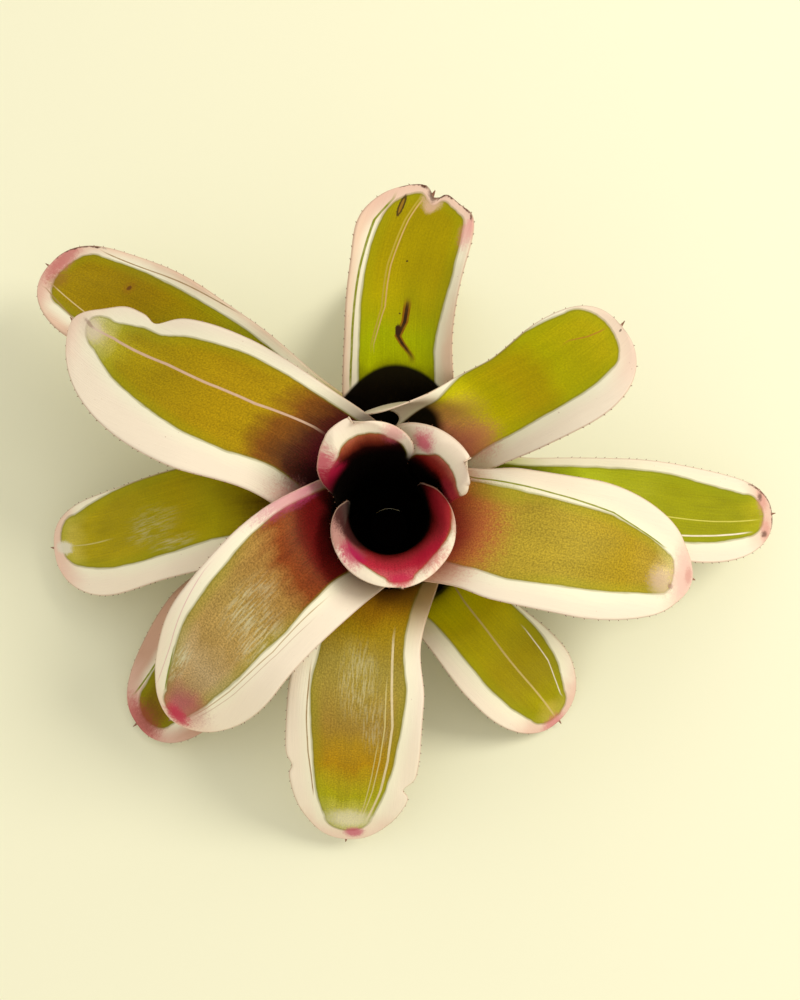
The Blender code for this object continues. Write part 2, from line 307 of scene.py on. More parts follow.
LOOKS["leaf_cup_front"] = dict(
    centre=[(0.5, 30, 6, 6), (0.6, 80, 14, 14), (0.68, 125, 26, 28), (0.76, 165, 42, 50),
        (0.84, 192, 46, 64), (0.93, 204, 100, 104)],
    left=[(0.5, 1.1), (0.75, 1.03), (0.82, 0.9), (0.88, 0.55), (0.92, 0.35)],
    right=[(0.5, -0.85), (0.65, -0.74), (0.8, -0.66), (0.88, -0.5), (0.92, -0.35)], end=0.94,
    dark=(0.46, 0.62, 0.0, 0.0), grain=0.9, tip_pink=0.15,
    marks=[(-0.85, 0.74, 10, 6, (176, 104, 98), 0.8, 0.6), (-0.85, 0.61, 12, 8, (70, 34, 32), 0.95, 0.5),
        (-0.66, 0.8, 4, 5, (190, 20, 85), 0.8, 0.9), (0.0, 0.925, 3.5, 2.5, (200, 30, 75), 0.8, 0.9),
        (0.45, 0.84, 6, 5, (190, 25, 55), 0.7, 0.9), (0.85, 0.72, 4, 9, (170, 30, 45), 0.6, 0.9)])
LOOKS["leaf_cup_left"] = dict(
    centre=[(0.7, 6, 2, 3), (0.78, 40, 8, 8), (0.83, 118, 44, 28), (0.88, 168, 84, 54),
        (0.95, 205, 120, 100)],
    left=[(0.5, 1.0), (0.7, 0.8), (0.8, 0.66), (0.86, 0.5)],
    right=[(0.5, -1.0), (0.7, -0.9), (0.8, -0.8), (0.86, -0.6)], end=0.9, dark=(0.68, 0.8, 0.04, 0.0),
    margin=0.97, tip_pink=0.15,
    marks=[(0.82, 0.85, 4, 6, (208, 62, 96), 0.85, 0.9), (0.7, 0.72, 6, 6, (175, 25, 60), 0.9, 0.5),
        (0.95, 0.66, 6, 8, (150, 20, 50), 0.9, 0.5), (-0.75, 0.87, 3, 4, (225, 105, 125), 0.5, 1.0)])
LOOKS["leaf_cup_right"] = dict(
    centre=[(0.58, 12, 2, 2), (0.66, 60, 10, 8), (0.73, 150, 36, 30), (0.8, 165, 58, 48),
        (0.86, 190, 100, 80), (0.93, 215, 140, 130)],
    left=[(0.5, 1.0), (0.7, 0.75), (0.8, 0.55), (0.86, 0.5)],
    right=[(0.5, -1.1), (0.7, -0.85), (0.8, -0.7), (0.86, -0.55)], end=0.88, dark=(0.5, 0.66, 0.0, 0.0),
    margin=0.97, tip_pink=0.15,
    marks=[(0.82, 0.84, 3, 3.5, (215, 50, 100), 0.8, 1.0), (-0.45, 0.74, 5, 7, (175, 45, 60), 0.8, 0.6)])
LOOKS["leaf_front_left"] = dict(
    centre=[(0.25, 50, 6, 10), (0.34, 100, 10, 16), (0.4, 102, 18, 16), (0.45, 136, 62, 26),
        (0.49, 170, 126, 62), (0.58, 174, 142, 72), (0.68, 186, 150, 84), (0.75, 200, 170, 120),
        (0.82, 184, 150, 98), (0.88, 178, 104, 92), (0.94, 192, 84, 96)],
    left=[(0.3, 0.45), (0.4, 0.45), (0.55, 0.53), (0.7, 0.42), (0.8, 0.32), (0.9, 0.26)],
    right=[(0.3, -0.83), (0.42, -0.83), (0.55, -0.75), (0.7, -0.72), (0.8, -0.66), (0.9, -0.58)],
    end=0.955, grain=1.3, margin=1.0,
    stripes=[([(0.6, -0.93), (0.9, -0.88)], 0.3, (235, 195, 185)),
        ([(0.45, 0.58), (0.6, 0.59), (0.75, 0.44), (0.9, 0.31)], 0.35, (205, 178, 140)),
        ([(0.5, 0.68), (0.6, 0.66), (0.75, 0.52), (0.9, 0.4)], 0.25, (222, 196, 170)),
        ([(0.78, -0.7), (0.9, -0.62)], 0.5, GREEN_LINE)],
    glares=[(-0.1, 0.57, 8, 15, 0.6), (-0.52, 0.8, 4, 12, 0.95), (0.3, 0.6, 7, 14, 0.6)],
    marks=[(0.1, 0.89, 6, 8, (178, 84, 92), 0.55, 1.0), (0.05, 0.945, 4.5, 4, (198, 22, 76), 0.95, 0.9),
        (-0.95, 0.41, 4, 10, (200, 70, 120), 0.6, 0.9)])
LOOKS["leaf_right"] = dict(
    # painted light: the stops near the base are lighter than the leaf's own colour, to offset the shade that
    # the cup leaves cast there
    centre=[(0.26, 190, 56, 50), (0.33, 226, 118, 72), (0.38, 216, 154, 66), (0.43, 180, 143, 50),
        (0.5, 166, 141, 44), (0.62, 171, 146, 40), (0.75, 168, 138, 22), (0.82, 166, 137, 40),
        (0.88, 214, 190, 122)],
    left=[(0.3, 0.8), (0.4, 0.77), (0.5, 0.64), (0.6, 0.6), (0.7, 0.555), (0.8, 0.43), (0.87, 0.3)],
    right=[(0.3, -0.45), (0.4, -0.61), (0.5, -0.64), (0.6, -0.59), (0.8, -0.54)], end=0.9, grain=1.2,
    margin=0.9,
    stripes=[([(0.35, 0.87), (0.4, 0.83), (0.5, 0.735), (0.6, 0.67), (0.7, 0.6), (0.85, 0.38)],
         0.5, GREEN_LINE)],
    glares=[(-0.8, 0.5, 3, 7, 0.7)],
    marks=[(0.0, 0.35, 16, 12, (206, 52, 66), 0.5, 1.0), (0.62, 0.44, 3, 9, (168, 170, 30), 0.4, 1.0),
        (-0.3, 0.86, 4, 5, (206, 176, 150), 0.7, 1.0), (-0.4, 0.895, 1.0, 1.4, (120, 70, 62), 0.6, 0.9),
        (0.0, 0.94, 8, 6, (225, 175, 165), 0.6, 0.9), (0.05, 0.96, 2.5, 2, (196, 120, 110), 0.5, 1.0)])
LOOKS["leaf_left"] = dict(
    centre=[(0.25, 25, 4, 12), (0.34, 75, 8, 26), (0.38, 78, 22, 18), (0.43, 132, 76, 20),
        (0.48, 172, 138, 10), (0.6, 166, 134, 8), (0.78, 163, 140, 3), (0.84, 172, 158, 25),
        (0.89, 202, 190, 110), (0.94, 236, 222, 180)],
    left=[(0.35, 0.51), (0.4, 0.51), (0.5, 0.575), (0.6, 0.51), (0.7, 0.4), (0.8, 0.27), (0.88, 0.08)],
    right=[(0.35, -0.8), (0.5, -0.8), (0.6, -0.78), (0.7, -0.735), (0.75, -0.66), (0.8, -0.735),
        (0.88, -0.7)], end=0.94, grain=0.9,
    stripes=[([(0.38, -0.32), (0.5, -0.2), (0.6, -0.2), (0.7, -0.27), (0.85, -0.35), (0.93, -0.38)],
         0.8, (212, 176, 150))],
    marks=[(0.4, 0.3, 8, 10, (14, 3, 6), 0.75, 0.9), (0.85, 0.33, 7, 9, (196, 120, 118), 0.6, 1.0),
        (-0.3, 0.92, 3, 6, (224, 204, 180), 0.7, 1.0), (-0.42, 0.935, 0.6, 2.6, (150, 116, 100), 0.6, 0.9)])
LOOKS["leaf_back_right"] = dict(
    # painted light: the stops round the neck are lighter than the leaf's own colour, to offset the shade of
    # the leaves above
    centre=[(0.35, 30, 8, 10), (0.41, 120, 56, 50), (0.46, 224, 146, 100), (0.51, 240, 190, 84),
        (0.56, 222, 208, 12), (0.62, 196, 182, 0), (0.7, 178, 155, 0), (0.75, 168, 148, 0),
        (0.8, 172, 165, 0), (0.94, 178, 160, 8)],
    left=[(0.4, 0.95), (0.5, 0.86), (0.56, 0.84), (0.62, 0.86), (0.7, 0.82), (0.8, 0.95), (0.9, 0.9)],
    right=[(0.4, -0.6), (0.5, -0.575), (0.6, -0.56), (0.7, -0.5), (0.9, -0.46)], end=0.955,
    dark=(0.37, 0.43, 0.0, -0.2), pale_rim=True, grain=0.5,
    stripes=[([(0.86, 0.42), (0.9, 0.3), (0.94, 0.24)], 0.4, (178, 120, 40))],
    marks=[(-0.35, 0.5, 6, 8, (222, 120, 104), 0.55, 1.0), (0.3, 0.54, 6, 6, (196, 136, 90), 0.35, 1.0),
        (-0.1, 0.97, 0.3, 0.5, SCAR, 0.7, 0.4)])
LOOKS["leaf_front"] = dict(
    centre=[(0.27, 130, 85, 12), (0.34, 160, 115, 14), (0.4, 160, 130, 18), (0.46, 162, 141, 58),
        (0.52, 162, 139, 58), (0.6, 164, 130, 50), (0.66, 170, 133, 26), (0.72, 180, 135, 2),
        (0.77, 178, 157, 16), (0.82, 173, 165, 0), (0.86, 186, 178, 60), (0.92, 202, 192, 126)],
    left=[(0.35, 0.67), (0.5, 0.735), (0.6, 0.7), (0.8, 0.54), (0.9, 0.45)],
    right=[(0.4, -0.69), (0.5, -0.69), (0.6, -0.62), (0.7, -0.59), (0.8, -0.575), (0.9, -0.52)],
    end=0.945, grain=1.0, margin=0.97,
    stripes=[([(0.4, 0.5), (0.6, 0.56), (0.7, 0.52), (0.8, 0.47), (0.9, 0.38)],
         0.7, (226, 206, 160)),
        ([(0.5, 0.44), (0.6, 0.45), (0.7, 0.4), (0.8, 0.34), (0.9, 0.26)],
         0.35, (214, 196, 130)),
        ([(0.65, 0.36), (0.75, 0.3), (0.85, 0.24), (0.9, 0.2)], 0.3, (208, 190, 120)),
        ([(0.5, -0.74), (0.6, -0.69), (0.7, -0.66), (0.82, -0.63)], 0.4, MARGIN_LINE)],
    glares=[(0.0, 0.5, 8, 16, 0.45), (0.3, 0.6, 6, 14, 0.35)],
    marks=[(0.2, 0.95, 3, 2.5, (200, 70, 110), 0.8, 0.7), (0.0, 0.9, 7, 4, (240, 230, 200), 0.5, 0.9)])
LOOKS["leaf_back"] = dict(
    centre=[(0.45, 60, 30, 10), (0.5, 112, 106, 4), (0.56, 178, 185, 0), (0.62, 178, 187, 0),
        (0.68, 180, 172, 0), (0.74, 182, 166, 0), (0.8, 172, 152, 0), (0.92, 160, 140, 0)],
    left=[(0.5, 0.72), (0.8, 0.71), (0.9, 0.68)],
    right=[(0.5, -0.6), (0.6, -0.63), (0.7, -0.75), (0.8, -0.83), (0.9, -0.8)], end=0.965,
    dark=(0.535, 0.55, 0.07, 0.0), blush=(240, 206, 176), tip_pink=0.8,
    dry=[(1.0, 10.0), (-15.0, -1.0)],
    stripes=[([(0.5, 0.86), (0.6, 0.85), (0.8, 0.82), (0.9, 0.8), (0.945, 0.72)], 0.8, GREEN_LINE),
        ([(0.6, 0.45), (0.7, 0.27), (0.8, 0.27), (0.9, 0.19), (0.95, 0.13)],
         0.4, (215, 175, 110)),
        ([(0.6, 0.5), (0.7, 0.33), (0.8, 0.33), (0.9, 0.25), (0.95, 0.19)],
         0.5, (190, 165, 60)),
        (SCAR_LINE, 2.2, SCAR_HALO),
        (SCAR_LINE, 1.0, SCAR)],
    marks=[(0.45, 0.93, 0.9, 3.2, SCAR, 0.9, 0.3), (0.45, 0.93, 0.4, 2.2, (150, 110, 30), 1.0, 0.3),
        (0.02, 0.635, 0.9, 2.2, SCAR, 1.0, 0.5), (0.0, 0.81, 0.3, 0.3, SCAR, 0.9, 0.2),
        (0.0, 0.68, 0.3, 0.3, SCAR, 0.9, 0.2), (-0.1, 0.955, 2.6, 2.4, (228, 182, 160), 0.7, 1.0),
        (-0.02, 0.985, 1.2, 2.0, SCAR, 0.8, 0.8), (-0.9, 0.9, 2.0, 5.0, (226, 120, 130), 0.5, 1.0)])
LOOKS["leaf_lower_right"] = dict(
    centre=[(0.4, 90, 95, 8), (0.5, 172, 182, 6), (0.58, 160, 163, 0), (0.7, 146, 144, 0),
        (0.88, 143, 140, 0), (0.94, 166, 156, 14)],
    left=[(0.5, 0.78), (0.6, 0.78), (0.7, 0.77), (0.8, 0.69), (0.9, 0.607)],
    right=[(0.6, -0.62), (0.73, -0.6), (0.8, -0.56), (0.9, -0.51)], end=0.955, margin=0.86,
    tip_pink=0.9,
    dry=[(-6.0, 12.0)],
    stripes=[([(0.65, -0.115), (0.93, -0.115)], 0.35, (210, 200, 90)),
        ([(0.7, -0.48), (0.9, -0.42)], 0.5, CREAM_LINE)],
    marks=[(0.6, 0.955, 4.0, 2.2, (206, 130, 120), 0.55, 1.0),
        (-0.6, 0.955, 4.0, 2.2, (206, 130, 120), 0.55, 1.0), (0.7, 0.95, 1.3, 1.0, SCAR, 0.7, 1.0),
        (-0.7, 0.95, 1.0, 1.3, SCAR, 0.7, 1.0)])
LOOKS["leaf_lower_left"] = dict(
    # painted light: the base is lighter than the leaf's own colour, to offset the shade that leaf_left casts
    # on it
    centre=[(0.38, 110, 85, 4), (0.44, 160, 142, 2), (0.5, 176, 162, 0), (0.58, 176, 155, 0),
        (0.66, 165, 149, 0), (0.74, 172, 152, 0), (0.86, 178, 158, 2), (0.93, 198, 180, 68)],
    left=[(0.5, 0.48), (0.6, 0.53), (0.7, 0.51), (0.8, 0.447), (0.9, 0.38)],
    right=[(0.5, -1.0), (0.7, -1.0), (0.8, -0.93), (0.9, -0.8)], end=0.955, margin=1.0, tip_pink=0.8,
    stripes=[([(0.8, -0.11), (0.95, -0.11)], 0.4, (205, 190, 110))],
    glares=[(-0.1, 0.66, 8, 14, 0.35), (0.35, 0.6, 3, 12, 0.45)],
    marks=[(-0.05, 0.945, 2.2, 3.5, (235, 225, 200), 0.9, 0.6)])
LOOKS["leaf_lower_far_left"] = dict(
    centre=[(0.4, 60, 52, 5), (0.55, 150, 140, 4), (0.62, 155, 138, 0), (0.75, 153, 123, 0),
        (0.92, 153, 125, 0)],
    left=[(0.5, 0.63), (0.9, 0.63)],
    right=[(0.5, -0.79), (0.6, -0.79), (0.7, -0.75), (0.9, -0.75)], end=0.95, grain=0.85,
    blush=(238, 200, 172), tip_pink=1.0,
    dry=[(-16.0, -3.0)],
    stripes=[([(0.6, 0.48), (0.8, 0.48), (0.95, 0.4)], 0.35, (222, 196, 140)),
        ([(0.6, 0.78), (0.8, 0.74), (0.95, 0.6)], 0.4, MARGIN_LINE),
        ([(0.6, -0.97), (0.9, -0.87)], 0.4, MARGIN_LINE)],
    marks=[(-0.36, 0.797, 1.0, 0.7, SCAR, 1.0, 0.4), (-0.36, 0.797, 2.4, 1.8, (150, 95, 15), 0.4, 0.8),
        (-0.55, 0.965, 8.0, 3.0, (196, 104, 104), 0.75, 1.0),
        (0.2, 0.94, 3.5, 3.0, (150, 92, 40), 0.5, 1.0), (0.0, 0.97, 5.0, 2.2, (200, 120, 112), 0.6, 1.0)])
LOOKS["leaf_lower_front_right"] = dict(
    # painted light: the stops near the base are much lighter than the leaf's own colour, to offset the shade
    # of the leaves above
    centre=[(0.3, 225, 215, 0), (0.4, 208, 198, 0), (0.47, 186, 168, 0), (0.55, 180, 163, 0),
        (0.65, 164, 144, 0), (0.8, 152, 135, 0), (0.88, 160, 148, 0), (0.94, 192, 170, 66)],
    left=[(0.5, 0.93), (0.6, 0.89), (0.7, 0.8), (0.8, 0.7), (0.9, 0.556)],
    right=[(0.5, -0.55), (0.6, -0.56), (0.7, -0.59), (0.8, -0.575), (0.9, -0.54)], end=0.955,
    tip_pink=0.9,
    stripes=[([(0.6, 0.72), (0.75, 0.6), (0.9, 0.45)], 0.35, CREAM_LINE),
        ([(0.3, 0.3), (0.4, 0.255), (0.5, 0.18), (0.6, 0.1), (0.7, 0.05), (0.95, -0.03)],
         0.6, (205, 180, 110))],
    marks=[(-0.3, 0.965, 4.0, 2.4, (206, 96, 110), 0.6, 1.0)])
LOOKS["leaf_lower_front_left"] = dict(
    centre=[(0.3, 60, 50, 8), (0.6, 120, 104, 4), (0.9, 128, 106, 5)],
    left=[(0.5, 0.54), (0.9, 0.54)],
    right=[(0.5, -0.47), (0.9, -0.47)], end=0.95, margin=0.88, blush=(214, 168, 142), tip_pink=1.0,
    stripes=[([(0.6, -0.68), (0.93, -0.62)], 0.6, GREEN_LINE)],
    marks=[(0.0, 0.97, 9, 5, (190, 60, 75), 0.7, 0.9), (0.1, 0.93, 5, 5, (120, 60, 30), 0.5, 1.0)])
LOOKS["leaf_lower_back"] = dict(
    centre=[(0.3, 60, 60, 12), (0.5, 130, 135, 12), (0.9, 150, 150, 12)],
    left=[(0.5, 0.6), (0.9, 0.58)],
    right=[(0.5, -0.6), (0.9, -0.58)], end=0.95)


def linear(colour):
    """A colour read from the photo, 0 to 255, as the linear values that shaders use."""
    shares = [c / 255.0 for c in colour]
    return [s / 12.92 if s <= 0.04045 else ((s + 0.055) / 1.055) ** 2.4 for s in shares]


def unit(x):
    """The value kept between 0 and 1."""
    return np.clip(x, 0.0, 1.0)


def ease(x):
    """0 below 0, 1 above 1 and a smooth step between."""
    x = unit(x)
    return x * x * (3.0 - 2.0 * x)


def grown(along, start, over):
    """0 up to the start, growing smoothly to 1."""
    return ease((along - start) / over)


def towards(edge, across, power=2):
    """0 at the middle line, growing to 1 at one edge."""
    return unit(across * edge) ** power


def bump(x, centre, size):
    """A rounded bump of height 1 at centre."""
    return np.exp(-((x - centre) / size) ** 2)


def smooth_curve(points):
    """A centripetal Catmull-Rom curve through the points: samples, and the length up to each."""
    knots = np.array(points, float)
    knots = np.vstack([2 * knots[0] - knots[1], knots, 2 * knots[-1] - knots[-2]])
    spans = []
    for before, start, end, after in zip(knots, knots[1:], knots[2:], knots[3:]):
        t1 = np.linalg.norm(start - before) ** 0.5
        t2 = t1 + np.linalg.norm(end - start) ** 0.5
        t3 = t2 + np.linalg.norm(after - end) ** 0.5
        t = np.linspace(t1, t2, ARCH_SAMPLES // len(points))[:, None]
        a1 = (t1 - t) / t1 * before + t / t1 * start
        a2 = (t2 - t) / (t2 - t1) * start + (t - t1) / (t2 - t1) * end
        a3 = (t3 - t) / (t3 - t2) * end + (t - t2) / (t3 - t2) * after
        b1 = (t2 - t) / t2 * a1 + t / t2 * a2
        b2 = (t3 - t) / (t3 - t1) * a2 + (t - t1) / (t3 - t1) * a3
        spans.append((t2 - t) / (t2 - t1) * b1 + (t - t1) / (t2 - t1) * b2)
    # the last sample of a span is the first of the next one
    curve = np.vstack([span[:-1] for span in spans] + [spans[-1][-1:]])
    steps = np.linalg.norm(np.diff(curve, axis=0), axis=1)
    return curve, np.concatenate([[0.0], np.cumsum(steps)])


def middle_line(leaf):
    """The leaf's middle line as (radius, height) samples, and the length up to each."""
    foot_height = OUTER_SHEATH_HEIGHT + SHEATH_STEP_UP * (RANK_COUNT - 1 - leaf["rank"])
    stem_taper = (STEM_FOOT_RADIUS - STEM_TOP_RADIUS) / STEM_HEIGHT
    foot_radius = STEM_FOOT_RADIUS - stem_taper * foot_height + SHEATH_GAP_FROM_STEM
    sheath_radius = INNER_SHEATH_RADIUS + SHEATH_STEP_OUT * leaf["rank"]
    sheath = [
        (foot_radius, foot_height),
        (sheath_radius - SHEATH_FLARE_BACK, foot_height + SHEATH_FLARE_RISE),
        (sheath_radius, foot_height + SHEATH_RISE),
    ]
    return smooth_curve(sheath + leaf["arch"])


def leaf_length(leaf):
    """The length of the leaf's middle line."""
    return middle_line(leaf)[1][-1]


def spine_reach(leaf):
    """How far the tip spine stands out, less on the leaves with a curled lip."""
    return LIPPED_SPINE_REACH if "lip" in leaf else SPINE_REACH


def half_width(leaf, along, to_tip):
    """Half the leaf's width at each row: sheath, neck, blade, round tip and spine."""
    sheath, neck, blade = leaf["widths"]
    foot = min(sheath, SHEATH_FOOT_WRAP * STEM_FOOT_RADIUS)
    neck_at = leaf.get("neck_at", NECK_AT)
    widest_at = leaf.get("widest_at", WIDEST_AT)
    width = foot + (sheath - foot) * ease(along / SHEATH_WIDEST_AT)
    width += (neck - sheath) * grown(along, SHEATH_WIDEST_AT, neck_at - SHEATH_WIDEST_AT)
    width += (blade - neck) * grown(along, neck_at, widest_at - neck_at)
    power = leaf.get("tip_power", TIP_POWER)
    from_shoulder = 1.0 - unit(to_tip / leaf["tip"])
    width *= (1.0 - from_shoulder**power) ** (1.0 / power)
    point_share = unit(-to_tip / spine_reach(leaf))
    spine = SPINE_HALF_WIDTH + (SPINE_POINT - SPINE_HALF_WIDTH) * point_share
    return np.maximum(width, spine)


def edge_lift(leaf, along, across, side, width, to_tip):
    """How far each point stands off the turned shape, towards the cup or up from the blade."""
    blade = leaf["widths"][2]
    shallow_tip = TIP_CHANNEL + (1.0 - TIP_CHANNEL) * unit(to_tip / leaf["tip"])
    lift = leaf["channel"] * grown(along, *CHANNEL_GROWS) * shallow_tip * (side / blade) ** 2
    lift += np.tan(np.radians(leaf.get("tilt", 0.0))) * grown(along, *TILT_GROWS) * side
    for height, count, phase, edge in leaf.get("waves", ()):
        near_edge = towards(edge, across) * grown(along, *WAVES_GROW) * width / blade
        lift += height * near_edge * np.sin(2 * np.pi * (count * along + phase))
    for place, size, height, edge in leaf.get("curls", ()):
        lift += height * bump(along, place, size) * towards(edge, across)
    if "lip" in leaf:
        lip_width, left_reach, right_reach = leaf["lip"]
        from_edge = np.minimum(width * (1.0 - np.abs(across)), np.maximum(to_tip, 0.0))
        curl = 1.0 - unit(from_edge / lip_width)
        reach = right_reach + (left_reach - right_reach) * ease((across + 1.0) / 2.0)
        lift -= reach * curl**2 * grown(along, *LIP_GROWS)
    return lift


def uneven(leaf, distance, side):
    """Slow rises and dips over the blade, -1 to 1, longer than they are wide."""
    shift = RELIEF_SHIFT * leaf["rank"]
    return np.array([noise.noise(Vector((d * RELIEF_ALONG + shift, s * RELIEF_ACROSS, shift)))
                     for d, s in zip(distance, side)])


def leaf_points(leaf, distance, across, relief):
    """Points of the leaf's middle surface in metres, with the side and the half width in millimetres.

    distance runs up the middle line from the stem in millimetres, and relief is the height of the
    uneven patches of a grown surface.
    """
    curve, reached = middle_line(leaf)
    length = reached[-1]
    along = distance / length
    to_tip = length - TIP_SPINE - distance
    width = half_width(leaf, along, to_tip)
    side = width * across
    for place, size, depth in leaf.get("nicks", ()):
        distance = distance - depth * bump(side, place, size) * ease(1.0 - to_tip / NICK_REACH)
    slope = np.gradient(curve, reached, axis=0)
    radius, height = (np.interp(distance, reached, curve[:, i]) for i in range(2))
    run, rise = (np.interp(distance, reached, slope[:, i]) for i in range(2))
    for place, size, depth, edge in leaf.get("cuts", ()):
        near_edge = towards(edge, across, 3) * ease(to_tip / CUT_ENDS)
        side = side - edge * depth * bump(along, place, size) * near_edge
    lift = edge_lift(leaf, along, across, side, width, to_tip)
    blade = grown(along, *RELIEF_GROWS)
    lift = lift + relief * uneven(leaf, distance, side) * blade * ease(to_tip / RELIEF_ENDS)

    start, end = leaf["azimuths"]
    sweep = grown(along, SWEEP_STARTS_AT, 1.0 - SWEEP_STARTS_AT)
    bow = np.sin(np.pi * unit((along - BEND_STARTS_AT) / (1.0 - BEND_STARTS_AT)))
    azimuth = np.radians(start + (end - start) * sweep + leaf["bend"] * bow) + side / radius
    out = radius - rise * lift
    up = height + run * lift
    points = np.stack([out * np.cos(azimuth), out * np.sin(azimuth) - ROSETTE_LEAN * up, up], -1) * MM
    return points, side, width


def place_on(leaf, across, along):
    """A place on a leaf as its side and its distance from the stem, in millimetres."""
    length = leaf_length(leaf)
    distance = np.array([along * length])
    width = half_width(leaf, distance / length, length - TIP_SPINE - distance)[0]
    return float(width * across), float(distance[0])


def border(leaf, look, length):
    """The outline of the leaf's coloured middle as points of (side, distance), once round the tip."""
    last = max(look["left"][-1][0], look["right"][-1][0])
    closing_rows = last + (look["end"] - last) * np.sin(np.linspace(0.0, np.pi / 2, BORDER_TIP_ROWS))[1:]
    rows = np.concatenate([np.linspace(0.0, last, BORDER_ROWS), closing_rows])
    closing = np.sqrt(unit(1.0 - unit((rows - last) / (look["end"] - last)) ** 2))
    blade_length = length - TIP_SPINE
    width = half_width(leaf, rows, blade_length - rows * length)
    at_last = half_width(leaf, np.array([last]), np.array([blade_length - last * length]))[0]
    width = np.where(rows > last, at_last, width)
    left, right = (np.interp(rows, *zip(*look[name])) * width for name in ("left", "right"))
    middle = (left + right) / 2
    half = (left - right) / 2 * closing
    left = np.stack([middle + half, rows * length], -1)
    right = np.stack([middle - half, rows * length], -1)
    return np.vstack([left, right[::-1]])


def distance_to_border(outline, side, distance):
    """Millimetres from each point to the outline, below 0 inside it."""
    points = np.stack([side, distance], -1)[:, None, :]
    start, end = outline[:-1], outline[1:]
    step = end - start
    size = np.maximum((step**2).sum(-1), 1e-9)
    nearest = np.full(len(side), np.inf)
    for first in range(0, len(start), BORDER_CHUNK):
        chunk = slice(first, first + BORDER_CHUNK)
        t = unit(((points - start[chunk]) * step[chunk]).sum(-1) / size[chunk])
        gap = np.linalg.norm(points - start[chunk] - t[..., None] * step[chunk], axis=-1).min(1)
        nearest = np.minimum(nearest, gap)
    half = len(outline) // 2
    left, right = outline[:half], outline[half:][::-1]
    inside = (side < np.interp(distance, left[:, 1], left[:, 0])) & (
        side > np.interp(distance, right[:, 1], right[:, 0])) & (distance < left[-1, 1])
    return np.where(inside, -nearest, nearest)


def stripe_offset(leaf, stripe, side, distance, length):
    """Millimetres from each point to a stripe's middle line, along the row."""
    places, shares = np.array(stripe[0]).T
    rows = half_width(leaf, places, length - TIP_SPINE - places * length)
    return side - np.interp(distance / length, places, shares * rows)


class Tree:
    """Short calls that add linked nodes to a material."""

    def __init__(self, material):
        self.nodes = material.node_tree.nodes
        self.links = material.node_tree.links

    def add(self, kind, inputs=(), **settings):
        """A node with these inputs, each a value or another node's output."""
        node = self.nodes.new(kind)
        for name, value in settings.items():
            setattr(node, name, value)
        for key, value in dict(inputs).items():
            self.put(node.inputs[key], value)
        return node

    def put(self, socket, value):
        """Link a socket to an output, or set its value."""
        if isinstance(value, bpy.types.NodeSocket):
            self.links.new(value, socket)
        elif isinstance(value, (tuple, list)) and len(socket.default_value) == 4:
            socket.default_value = (*value[:3], 1.0)
        else:
            socket.default_value = value

    def math(self, operation, first, second=0.0, clamp=False):
        node = self.add("ShaderNodeMath", {0: first, 1: second}, operation=operation, use_clamp=clamp)
        return node.outputs[0]

    def plus(self, first, second):
        return self.math("ADD", first, second)

    def minus(self, first, second):
        return self.math("SUBTRACT", first, second)

    def times(self, first, second, clamp=False):
        return self.math("MULTIPLY", first, second, clamp)

    def line(self, value, least, more):
        """least where the value is 0, least + more where it is 1."""
        return self.plus(least, self.times(value, more))

    def swing(self, pattern, amount):
        """A pattern as a swing to both sides of 0."""
        return self.times(self.minus(pattern, 0.5), amount)

    def step(self, value, low, high):
        """0 at low, 1 at high, smooth between."""
        return self.add("ShaderNodeMapRange", {0: value, 1: low, 2: high},
                        interpolation_type="SMOOTHSTEP").outputs[0]

    def mix(self, share, first, second, blend="MIX"):
        """The first colour at a share of 0, the second at 1."""
        node = self.add("ShaderNodeMix", data_type="RGBA", blend_type=blend)
        for socket, value in zip((node.inputs[0], node.inputs[6], node.inputs[7]), (share, first, second)):
            self.put(socket, value)
        return node.outputs[2]

    def cover(self, colour, over, share, amount):
        """A colour with another laid over it, by the product of share and amount."""
        return self.mix(self.times(share, amount), colour, over)

    def grey(self, value):
        """One value as a grey colour."""
        return self.add("ShaderNodeCombineColor", {0: value, 1: value, 2: value}).outputs[0]

    def darken(self, colour, value):
        """A colour times a value."""
        return self.mix(1.0, colour, self.grey(value), "MULTIPLY")

    def ramp(self, value, stops):
        """A row of colours, each given as (place, red, green, blue)."""
        node = self.add("ShaderNodeValToRGB", {0: value})
        elements = node.color_ramp.elements
        while len(elements) < len(stops):
            elements.new(0.5)
        for element, (place, *colour) in zip(elements, stops):
            element.position = place
            element.color = (*linear(colour), 1.0)
        return node.outputs[0]

    def noise(self, vector, scale, detail, roughness):
        """Noise over a vector, stretched by the scale."""
        scaled = self.add("ShaderNodeVectorMath", {0: vector, 1: scale}, operation="MULTIPLY").outputs[0]
        return self.add("ShaderNodeTexNoise", {
            "Vector": scaled, "Scale": 1.0, "Detail": detail, "Roughness": roughness}).outputs[0]

    def attribute(self, name):
        """What is stored on the points under a name."""
        return self.add("ShaderNodeAttribute", attribute_name=name).outputs["Vector"]

    def split(self, vector):
        """The three numbers of a vector."""
        return self.add("ShaderNodeSeparateXYZ", {0: vector}).outputs[:3]


class LeafTree(Tree):
    """The nodes of a leaf's material, with what its points hold and the noise over it."""

    def __init__(self, material):
        super().__init__(material)
        self.grain = self.attribute("grain")
        self.across, self.along, _ = self.split(self.attribute("place"))
        self.side, self.distance, _ = self.split(self.grain)
        self.beyond, self.to_tip, self.from_edge = self.split(self.attribute("margin"))
        self.patterns = {}

    def pattern(self, name):
        """One of the noise patterns, made when it is first asked for."""
        if name not in self.patterns:
            self.patterns[name] = self.noise(self.grain, *PATTERNS[name])
        return self.patterns[name]


def new_material(name, kind=Tree):
    """An empty node material and its tree."""
    material = bpy.data.materials.new(name)
    material.use_nodes = True
    material.node_tree.nodes.clear()
    return material, kind(material)


